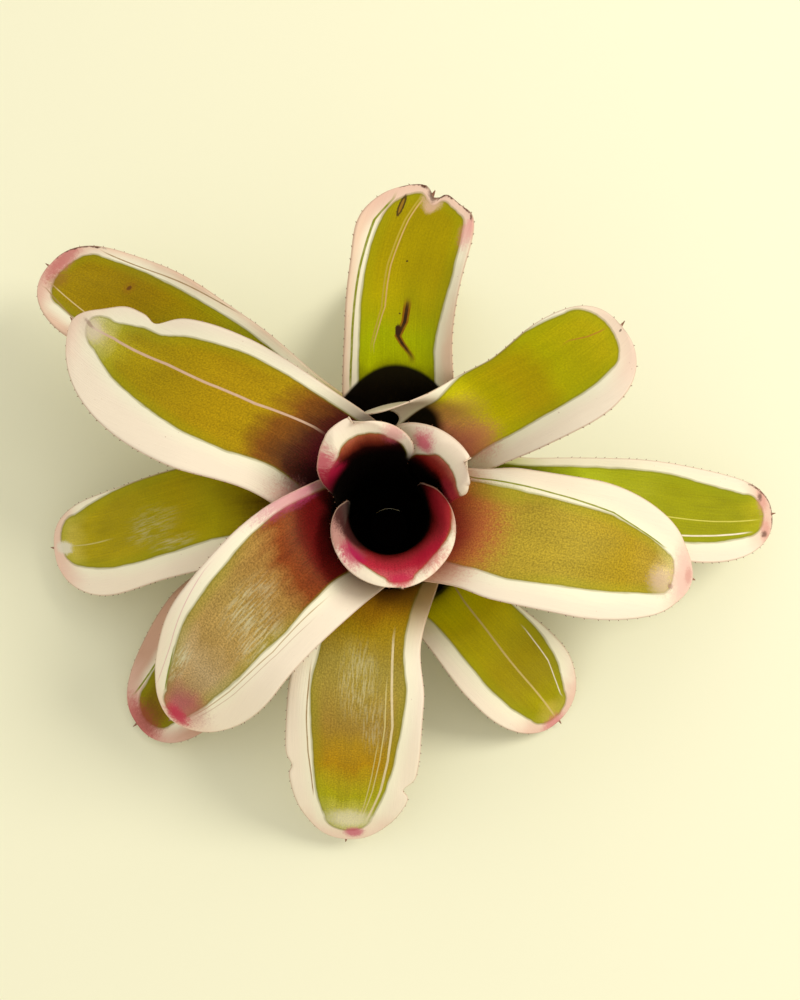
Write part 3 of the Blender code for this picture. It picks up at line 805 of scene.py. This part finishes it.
def finish_material(tree, colour, roughness, specular, bumps=None):
    """The shader and output at the end of a material. bumps: (pattern, strength, height in metres)."""
    shader = tree.add("ShaderNodeBsdfPrincipled", {
        "Base Color": colour, "Roughness": roughness, "Specular IOR Level": specular,
        "Specular Tint": SPECULAR_TINT})
    if bumps:
        bumped = tree.add("ShaderNodeBump", zip(("Height", "Strength", "Distance"), bumps))
        tree.put(shader.inputs["Normal"], bumped.outputs[0])
    tree.add("ShaderNodeOutputMaterial", {"Surface": shader.outputs[0]})


def patch_reach(tree, leaf, across, along, size_across, size_along):
    """0 at the middle of an oval patch, 1 on its outline."""
    side, distance = place_on(leaf, across, along)
    x = tree.math("DIVIDE", tree.minus(tree.side, side), size_across)
    y = tree.math("DIVIDE", tree.minus(tree.distance, distance), size_along)
    return tree.math("SQRT", tree.plus(tree.times(x, x), tree.times(y, y)))


def middle_colour(tree, leaf, look):
    """The coloured middle of a leaf: its row of colours, clouded, streaked, freckled, with painted
    highlights.
    """
    clouds = tree.pattern("clouds")
    colour = tree.ramp(tree.plus(tree.along, tree.swing(clouds, CLOUD_WARP)), look["centre"])
    colour = tree.darken(colour, tree.line(clouds, *CLOUD_SHADE))
    colour = tree.darken(colour, tree.line(tree.pattern("veins"), *VEIN_SHADE))
    depth = FRECKLE_DEPTH * look.get("grain", GRAIN)
    freckles = tree.step(tree.pattern("freckles"), *FRECKLE_STEP)
    colour = tree.darken(colour, tree.line(freckles, 1.0 - depth, 2 * depth))
    if "lip" not in leaf:
        near_border = tree.times(tree.step(tree.beyond, *GREEN_EDGE), tree.step(tree.along, *GREEN_ALONG))
        colour = tree.cover(colour, linear(BORDER_GREEN), near_border, GREEN_SHARE)
    # painted highlights: streaks of glare laid over the colour of some blades
    for *patch, strength in look.get("glares", ()):
        inside = tree.step(patch_reach(tree, leaf, *patch), *PATCH_STEP)
        glare_streaks = tree.step(tree.pattern("glare_streaks"), *GLARE_STREAK_STEP)
        colour = tree.cover(colour, linear(GLARE), tree.times(inside, strength), glare_streaks)
    return colour


def margin_colour(tree, look, colours):
    """The margins: cream, with pink towards the edge and the tip, specked, and stained at the base."""
    clouds = tree.pattern("clouds")
    pinkness = tree.step(tree.plus(tree.beyond, tree.times(clouds, CLOUD_PINK_EDGE)), *PINK_EDGE)
    blush = linear(look["blush"]) if "blush" in look else colours["blush"]
    colour = tree.mix(pinkness, colours["cream"], blush)
    pink_tip = tree.step(tree.minus(tree.to_tip, tree.times(clouds, CLOUD_PINK_TIP)), *PINK_TIP)
    colour = tree.cover(colour, colours["pink"], pink_tip, look.get("tip_pink", TIP_PINK))
    # the margin's brightness is partly painted light and shade, set leaf by leaf
    fibres = tree.line(tree.pattern("fibres"), look.get("margin", MARGIN_SHADE), FIBRE_SHADE)
    colour = tree.darken(colour, fibres)
    specks = tree.step(tree.pattern("specks"), *SPECK_STEP)
    colour = tree.cover(colour, colours["speck"], specks, SPECK_SHARE)
    stain = tree.step(tree.along, *STAIN_ALONG)
    return tree.cover(colour, linear(look["centre"][1][1:]), stain, STAIN_SHARE)


def add_stripe(tree, colour, stripe, offset, wiggle):
    """A thin line along the leaf that fades at both ends."""
    line, width, shade = stripe
    first, last = line[0][0], line[-1][0]
    gap = tree.math("ABSOLUTE", tree.plus(offset, tree.times(wiggle, STRIPE_WIGGLE)))
    inside = tree.step(gap, width / 2 + STRIPE_BLUR, width / 2 - STRIPE_BLUR)
    starts = tree.step(tree.along, first - STRIPE_START, first + STRIPE_START)
    ends = tree.step(tree.along, last + STRIPE_END, last - STRIPE_END)
    faded = tree.line(tree.pattern("ragged"), *STRIPE_FADE)
    share = tree.times(inside, starts)
    return tree.cover(colour, linear(shade), share, tree.times(ends, faded, clamp=True))


def add_mark(tree, leaf, colour, mark):
    """A patch or scar of another colour, round or with a ragged outline."""
    *patch, shade, strength, raggedness = mark
    reach = patch_reach(tree, leaf, *patch)
    for name, amount in (("ragged", MARK_RAGGED), ("freckles", MARK_FRECKLED)):
        reach = tree.plus(reach, tree.swing(tree.pattern(name), amount * raggedness))
    blur = MARK_BLUR * raggedness
    return tree.cover(colour, linear(shade), tree.step(reach, 1.0 + blur, 1.0 - blur), strength)


def add_dry_edge(tree, colour, low, high):
    """A dry brown edge near the tip, between two sides."""
    nearest = tree.math("MINIMUM", tree.from_edge, tree.to_tip)
    gap = tree.plus(nearest, tree.swing(tree.pattern("ragged"), DRY_WIGGLE))
    right, left = tree.step(tree.side, low, low + DRY_FADE), tree.step(tree.side, high, high - DRY_FADE)
    near_tip = tree.times(tree.step(gap, *DRY_EDGE), tree.step(tree.along, *DRY_ALONG))
    return tree.cover(colour, linear(DRY), tree.times(right, left), near_tip)


def add_pit(tree, colour, look, colours):
    """The pit at the leaf's base, painted black as its deep shade over the sheath's own dark colour."""
    black_below, clear_above, crown, slant = look.get("dark", PIT_SHADE)
    reach = tree.plus(tree.along, tree.times(tree.times(tree.across, tree.across), crown))
    reach = tree.plus(reach, tree.times(tree.across, slant))
    share = tree.step(reach, clear_above, black_below)
    if look.get("pale_rim"):
        share = tree.times(share, tree.step(tree.beyond, *PALE_RIM))
    return tree.mix(share, colour, colours["pit"])


def leaf_material(leaf, look, colours):
    """The upper side of one leaf, from its coloured middle and margins to its stripes, marks and veins."""
    material, tree = new_material(leaf["name"] + "_upper", LeafTree)
    wiggle = tree.swing(tree.pattern("wiggle"), BORDER_WIGGLE)
    border_gap = tree.plus(tree.beyond, wiggle)
    colour = tree.mix(tree.step(border_gap, *BORDER_STEP), middle_colour(tree, leaf, look),
                      margin_colour(tree, look, colours))
    outline = tree.step(tree.math("ABSOLUTE", border_gap), *OUTLINE_STEP)
    colour = tree.cover(colour, colours["outline"], outline, OUTLINE_SHARE)
    stripes = look.get("stripes", ())
    if stripes:
        offsets = [offset for name in STRIPE_NAMES for offset in tree.split(tree.attribute(name))]
        for stripe, offset in zip(stripes, offsets):
            colour = add_stripe(tree, colour, stripe, offset, wiggle)
    for mark in look.get("marks", ()):
        colour = add_mark(tree, leaf, colour, mark)
    for low, high in look.get("dry", ()):
        colour = add_dry_edge(tree, colour, low, high)
    rim = tree.step(tree.from_edge, *RIM_STEP)
    colour = tree.cover(colour, colours["rim"], rim, RIM_SHARE)
    colour = add_pit(tree, colour, look, colours)
    if "lip" not in leaf:
        colour = tree.mix(tree.step(tree.to_tip, *SPINE_STEP), colour, colours["spine"])

    veins, fibres = tree.pattern("veins"), tree.pattern("fibres")
    relief = tree.plus(tree.times(veins, VEIN_RELIEF), tree.times(fibres, FIBRE_RELIEF))
    finish_material(tree, colour, roughness=tree.line(fibres, *LEAF_ROUGHNESS), specular=0.2,
                    bumps=(relief, *LEAF_BUMPS))
    return material


def underside_material(colours):
    """The lower side of all leaves: duller, greyer, with the pale margins showing through."""
    material, tree = new_material("leaf_underside", LeafTree)
    veins = tree.pattern("under_veins")
    middle = tree.mix(tree.step(tree.along, *UNDER_ALONG), colours["under_base"], colours["under"])
    middle = tree.darken(middle, tree.line(tree.pattern("clouds"), *UNDER_CLOUD_SHADE))
    middle = tree.darken(middle, tree.line(veins, *VEIN_SHADE))
    colour = tree.mix(tree.step(tree.beyond, *UNDER_BORDER), middle, colours["under_margin"])
    colour = tree.mix(tree.step(tree.to_tip, *SPINE_STEP), colour, colours["spine"])
    # painted shade of the pit over the base of the underside
    colour = tree.mix(tree.step(tree.along, PIT_SHADE[1], PIT_SHADE[0]), colour, colours["pit"])
    finish_material(tree, colour, roughness=0.5, specular=0.4, bumps=(veins, *UNDER_BUMPS))
    return material


def put_vector(mesh, name, columns):
    """Store three numbers a point under a name that the materials read."""
    attribute = mesh.attributes.new(name, "FLOAT_VECTOR", "POINT")
    attribute.data.foreach_set("vector", np.stack(columns, -1).astype(np.float32).ravel())


def new_piece(name, builder, materials, nodes=()):
    """Make the piece, let it ride on the plant and stand for its CAD node."""
    mesh = bpy.data.meshes.new(name)
    builder.to_mesh(mesh)
    builder.free()
    mesh.shade_smooth()
    for material in materials:
        mesh.materials.append(material)
    piece = bpy.data.objects.new(name, mesh)
    bpy.context.scene.collection.objects.link(piece)
    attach(piece, BODY)
    if nodes:
        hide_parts(*nodes)
    return piece


def palette(scene):
    """The colours of the plant by name."""
    chosen = scene.bromeliad_colours
    return {name: tuple(getattr(chosen, name)) for name in chosen.__annotations__}


def row_distances(leaf, length, count):
    """Distances up the middle line, closer together at the tip, with a few rows for the spine."""
    share = np.linspace(0.0, 1.0, count + 1)
    blade = (length - TIP_SPINE) * (1.0 - (1.0 - share) ** TIP_BUNCHING)
    spine = length - TIP_SPINE + spine_reach(leaf) * np.linspace(0.0, 1.0, SPINE_ROWS + 1)[1:]
    return np.concatenate([blade, spine])


def build_leaf(leaf, sizes, colours):
    """One leaf: a fine grid bent to its place, with what its materials read stored on its points."""
    look = LOOKS[leaf["name"]]
    length = leaf_length(leaf)
    rows = row_distances(leaf, length, sizes.cells_along)
    builder = bmesh.new()
    bmesh.ops.create_grid(builder, x_segments=sizes.cells_across, y_segments=len(rows) - 1, size=1.0)
    flat = np.array([vert.co for vert in builder.verts])
    across = -flat[:, 0]
    row = np.rint((flat[:, 1] + 1.0) / 2.0 * (len(rows) - 1)).astype(int)
    distance = rows[row]
    points, side, width = leaf_points(leaf, distance, across, sizes.relief / MM)
    for vert, point in zip(builder.verts, points):
        vert.co = point
    materials = [leaf_material(leaf, look, colours), colours["underside"]]
    piece = new_piece(leaf["name"] + "_fine", builder, materials, [leaf["name"]])

    beyond = distance_to_border(border(leaf, look, length), side, distance)
    from_edge = width * (1.0 - np.abs(across))
    put_vector(piece.data, "place", (across, distance / length, width))
    put_vector(piece.data, "grain", (side, distance, np.full_like(side, GRAIN_SHIFT * leaf["rank"])))
    put_vector(piece.data, "margin", (beyond, length - TIP_SPINE - distance, from_edge))
    stripes = [stripe_offset(leaf, stripe, side, distance, length) for stripe in look.get("stripes", ())]
    stripes += [np.full_like(side, FAR)] * (3 * len(STRIPE_NAMES) - len(stripes))
    for i, name in enumerate(STRIPE_NAMES):
        put_vector(piece.data, name, stripes[3 * i:3 * i + 3])

    group = piece.vertex_groups.new(name="thick")
    steps = np.rint(ease(from_edge / THIN_EDGE) * THICKNESS_STEPS)
    for step in range(THICKNESS_STEPS + 1):
        chosen = np.flatnonzero(steps == step)
        if len(chosen):
            group.add([int(i) for i in chosen], step / THICKNESS_STEPS, "REPLACE")
    body = piece.modifiers.new("leaf_thickness", "SOLIDIFY")
    body.thickness = sizes.thickness
    body.offset = 0.0
    body.vertex_group = group.name
    body.thickness_vertex_group = sizes.edge_thickness / sizes.thickness
    body.material_offset = 1


def build_teeth(leaf, sizes, material):
    """The small spines along both edges of one leaf, leaning towards its tip."""
    length = leaf_length(leaf)
    builder = bmesh.new()
    start = CUP_TEETH_FROM if leaf["name"] in CUP else TEETH_FROM
    count = int(length * (TEETH_TO - start) / (sizes.tooth_spacing / MM))
    base = start + (np.arange(count) + 0.5) / count * (TEETH_TO - start)
    for edge in (LEFT, RIGHT):
        jitter = np.array([noise.noise(Vector((TOOTH_NOISE * i + edge, leaf["rank"], TOOTH_LAYER)))
                           for i in range(count)])
        distance = (base + TOOTH_SHIFT / count * jitter) * length
        rim, within, ahead = (
            leaf_points(leaf, distance + further, np.full(count, across * edge), sizes.relief / MM)[0]
            for further, across in ((0.0, 1.0), (0.0, TOOTH_INSET), (TOOTH_AHEAD, 1.0)))
        for i in range(count):
            outward = Vector(rim[i] - within[i]).normalized()
            forward = Vector(ahead[i] - rim[i]).normalized()
            direction = (outward + TOOTH_LEAN * forward).normalized()
            height = sizes.tooth_height * (1.0 + TOOTH_VARIES * jitter[i])
            turn = direction.to_track_quat("Z", "Y").to_matrix().to_4x4()
            place = Matrix.Translation(Vector(rim[i]) + direction * (height * TOOTH_CENTRE)) @ turn
            bmesh.ops.create_cone(
                builder, cap_ends=True, segments=TOOTH_SIDES, radius1=sizes.tooth_width / 2,
                radius2=sizes.tooth_width * TOOTH_POINT, depth=height, matrix=place)
    new_piece(leaf["name"] + "_spines", builder, [material])


def length_property(name, description, default, low, high):
    """A length in metres that the user may change."""
    return FloatProperty(name=name, description=description, default=default, min=low, max=high,
                         unit="LENGTH")


def colour_property(name, description, default):
    """A colour that the user may change."""
    return FloatVectorProperty(name=name, description=description, default=linear(default),
                               subtype="COLOR", size=3, min=0.0, max=1.0)


class LeafSizes(bpy.types.PropertyGroup):
    """Sizes of the fine leaves."""
    thickness: length_property("Thickness", "Thickness of a leaf along its middle", 0.0007, 0.0002, 0.002)
    edge_thickness: length_property(
        "Edge thickness", "Thickness of a leaf at its edges", 0.0004, 0.0001, 0.002)
    relief: length_property("Unevenness", "Height of the slow rises and dips of a blade", 0.0008, 0.0, 0.003)
    cells_along: IntProperty(
        name="Cells along", description="Rows of cells up one leaf", default=170, min=40, max=300)
    cells_across: IntProperty(
        name="Cells across", description="Cells from edge to edge of one leaf", default=40, min=8, max=80)
    tooth_spacing: length_property(
        "Spine spacing", "Distance between the spines along an edge", 0.0034, 0.001, 0.02)
    tooth_height: length_property("Spine height", "Height of a spine on the edge", 0.0005, 0.0001, 0.003)
    tooth_width: length_property("Spine width", "Width of a spine at its foot", 0.0004, 0.0001, 0.003)


class PlantColours(bpy.types.PropertyGroup):
    """Colours of the plant that all its leaves share."""
    cream: colour_property("Cream", "Margins of the leaves", (249, 240, 210))
    blush: colour_property("Blush", "Margins near the edge", (248, 231, 206))
    pink: colour_property("Pink", "Margins at the tip", (233, 190, 168))
    speck: colour_property("Specks", "Small spots on the margins", (170, 110, 95))
    outline: colour_property("Outline", "Line between the middle and a margin", (120, 118, 25))
    rim: colour_property("Rim", "Dry line on the edge", (212, 176, 148))
    spine: colour_property("Spines", "Spines on the edges and the tip", (138, 92, 72))
    # painted shade of the deep pits at the leaf bases, over their own dark colour
    pit: colour_property("Pits", "Dark bases of the leaves, where water stands", (8, 4, 4))
    under: colour_property("Underside", "Underside of the blades", (150, 146, 92))
    under_base: colour_property("Underside base", "Underside of the sheaths", (120, 92, 70))
    under_margin: colour_property("Underside margins", "Underside of the margins", (226, 212, 184))
    stem: colour_property("Stem", "Cut stem", (122, 92, 62))


class StageLooks(bpy.types.PropertyGroup):
    """Floor and light."""
    floor: colour_property("Floor", "Colour of the floor", (247, 243, 210))
    key_power: FloatProperty(
        name="Main light", description="Power of the large light at the right", default=7.6,
        min=0.0, max=500.0, unit="POWER")
    sky: FloatProperty(
        name="Sky", description="Strength of the even light from all round", default=0.76, min=0.0, max=5.0)


def build_leaves(context, names):
    """Build the named leaves."""
    colours = palette(context.scene)
    colours["underside"] = bpy.data.materials.get("leaf_underside") or underside_material(colours)
    leaves = {leaf["name"]: leaf for leaf in LEAVES}
    for name in names:
        build_leaf(leaves[name], context.scene.bromeliad_sizes, colours)
    return {"FINISHED"}


class BROMELIAD_OT_stem(bpy.types.Operator):
    """Build the fibrous cut stem"""
    bl_idname = "bromeliad.stem"
    bl_label = "Stem"

    def execute(self, context):
        colours = palette(context.scene)
        material, tree = new_material("stem_fibres")
        spot = tree.add("ShaderNodeTexCoord").outputs["Object"]
        fibres = tree.noise(spot, *STEM_FIBRES)
        colour = tree.darken(colours["stem"], tree.plus(STEM_SHADE, fibres))
        # painted shade: the top of the stem sits deep in the cup and is painted as dark as the pits
        cup_shade = tree.step(tree.split(spot)[2], *(STEM_HEIGHT * share * MM for share in STEM_TOP_SHADE))
        colour = tree.mix(cup_shade, colour, colours["pit"])
        finish_material(tree, colour, roughness=0.9, specular=0.02, bumps=(fibres, *STEM_BUMPS))
        builder = bmesh.new()
        bmesh.ops.create_cone(
            builder, cap_ends=True, segments=STEM_SIDES, radius1=(STEM_FOOT_RADIUS + STEM_SCARS) * MM,
            radius2=(STEM_TOP_RADIUS + STEM_SCARS) * MM, depth=STEM_HEIGHT * MM)
        for vert in builder.verts:
            vert.co.z += STEM_HEIGHT / 2 * MM
            vert.co.y -= ROSETTE_LEAN * vert.co.z
        stem = new_piece("stem_fine", builder, [material], ["stem"])
        stem.data.set_sharp_from_angle(angle=math.radians(STEM_SHARP_ANGLE))
        edge = stem.modifiers.new("cut_edge", "BEVEL")
        edge.width = STEM_EDGE * MM
        edge.segments = STEM_EDGE_ROWS
        edge.limit_method = "ANGLE"
        return {"FINISHED"}


class BROMELIAD_OT_cup(bpy.types.Operator):
    """Build the three short leaves round the cup"""
    bl_idname = "bromeliad.cup"
    bl_label = "Cup leaves"

    def execute(self, context):
        return build_leaves(context, CUP)


class BROMELIAD_OT_upper(bpy.types.Operator):
    """Build the three broad bronze leaves"""
    bl_idname = "bromeliad.upper"
    bl_label = "Broad leaves"

    def execute(self, context):
        return build_leaves(context, UPPER)


class BROMELIAD_OT_middle(bpy.types.Operator):
    """Build the three leaves of the middle rank"""
    bl_idname = "bromeliad.middle"
    bl_label = "Middle leaves"

    def execute(self, context):
        return build_leaves(context, MIDDLE)


class BROMELIAD_OT_lower(bpy.types.Operator):
    """Build the lowest leaves"""
    bl_idname = "bromeliad.lower"
    bl_label = "Lower leaves"

    def execute(self, context):
        return build_leaves(context, LOWER)


class BROMELIAD_OT_spines(bpy.types.Operator):
    """Build the small spines along the leaf edges"""
    bl_idname = "bromeliad.spines"
    bl_label = "Edge spines"

    def execute(self, context):
        material, tree = new_material("edge_spines")
        finish_material(tree, palette(context.scene)["spine"], roughness=0.5, specular=0.4)
        for leaf in LEAVES:
            build_teeth(leaf, context.scene.bromeliad_sizes, material)
        return {"FINISHED"}


class BROMELIAD_OT_stage(bpy.types.Operator):
    """Build the floor, the lights and the camera"""
    bl_idname = "bromeliad.stage"
    bl_label = "Stage"

    def execute(self, context):
        looks = context.scene.bromeliad_stage
        builder = bmesh.new()
        bmesh.ops.create_grid(builder, x_segments=1, y_segments=1, size=FLOOR_HALF)
        mesh = bpy.data.meshes.new("floor")
        builder.to_mesh(mesh)
        builder.free()
        material, tree = new_material("floor_paper")
        finish_material(tree, tuple(looks.floor), roughness=0.9, specular=0.2)
        mesh.materials.append(material)
        floor = bpy.data.objects.new("floor", mesh)
        context.scene.collection.objects.link(floor)

        world = bpy.data.worlds.new("soft_sky")
        world.use_nodes = True
        background = world.node_tree.nodes["Background"]
        background.inputs[0].default_value = SKY_COLOUR
        background.inputs[1].default_value = looks.sky
        context.scene.world = world

        window = bpy.data.lights.new("window", "AREA")
        window.energy = looks.key_power
        window.shape = "DISK"
        window.size = WINDOW_SIZE
        window.color = WINDOW_COLOUR
        key = bpy.data.objects.new("window", window)
        key.location = WINDOW_PLACE
        key.rotation_euler = (Vector(WINDOW_AIM) - key.location).to_track_quat("-Z", "Y").to_euler()
        context.scene.collection.objects.link(key)

        camera_data = bpy.data.cameras.new("photo_view")
        camera_data.lens = CAMERA_LENS
        camera_data.sensor_width = CAMERA_SENSOR
        camera_data.dof.use_dof = False
        camera = bpy.data.objects.new("photo_view", camera_data)
        camera.rotation_euler = (math.radians(CAMERA_TILT), 0.0, 0.0)
        camera.location = CAMERA_PLACE
        context.scene.collection.objects.link(camera)
        context.scene.camera = camera
        context.scene.view_settings.view_transform = "Standard"
        return {"FINISHED"}


class BROMELIAD_PT_panel(bpy.types.Panel):
    """The plant's steps in order, with its sizes and colours"""
    bl_label = "Bromeliad"
    bl_idname = "BROMELIAD_PT_panel"
    bl_space_type = "VIEW_3D"
    bl_region_type = "UI"
    bl_category = "Bromeliad"

    def draw(self, context):
        for operator in OPERATORS:
            self.layout.operator(operator.bl_idname)
        for group in (context.scene.bromeliad_sizes, context.scene.bromeliad_colours,
                      context.scene.bromeliad_stage):
            for name in group.__annotations__:
                self.layout.prop(group, name)


OPERATORS = (BROMELIAD_OT_stem, BROMELIAD_OT_cup, BROMELIAD_OT_upper, BROMELIAD_OT_middle,
             BROMELIAD_OT_lower, BROMELIAD_OT_spines, BROMELIAD_OT_stage)
CLASSES = (LeafSizes, PlantColours, StageLooks, *OPERATORS, BROMELIAD_PT_panel)


def register():
    for item in CLASSES:
        bpy.utils.register_class(item)
    bpy.types.Scene.bromeliad_sizes = PointerProperty(type=LeafSizes)
    bpy.types.Scene.bromeliad_colours = PointerProperty(type=PlantColours)
    bpy.types.Scene.bromeliad_stage = PointerProperty(type=StageLooks)


def unregister():
    del bpy.types.Scene.bromeliad_stage
    del bpy.types.Scene.bromeliad_colours
    del bpy.types.Scene.bromeliad_sizes
    for item in reversed(CLASSES):
        bpy.utils.unregister_class(item)


def main():
    register()
    bpy.ops.bromeliad.stem()
    bpy.ops.bromeliad.cup()
    bpy.ops.bromeliad.upper()
    bpy.ops.bromeliad.middle()
    bpy.ops.bromeliad.lower()
    bpy.ops.bromeliad.spines()
    bpy.ops.bromeliad.stage()


if __name__ == "__main__":
    main()
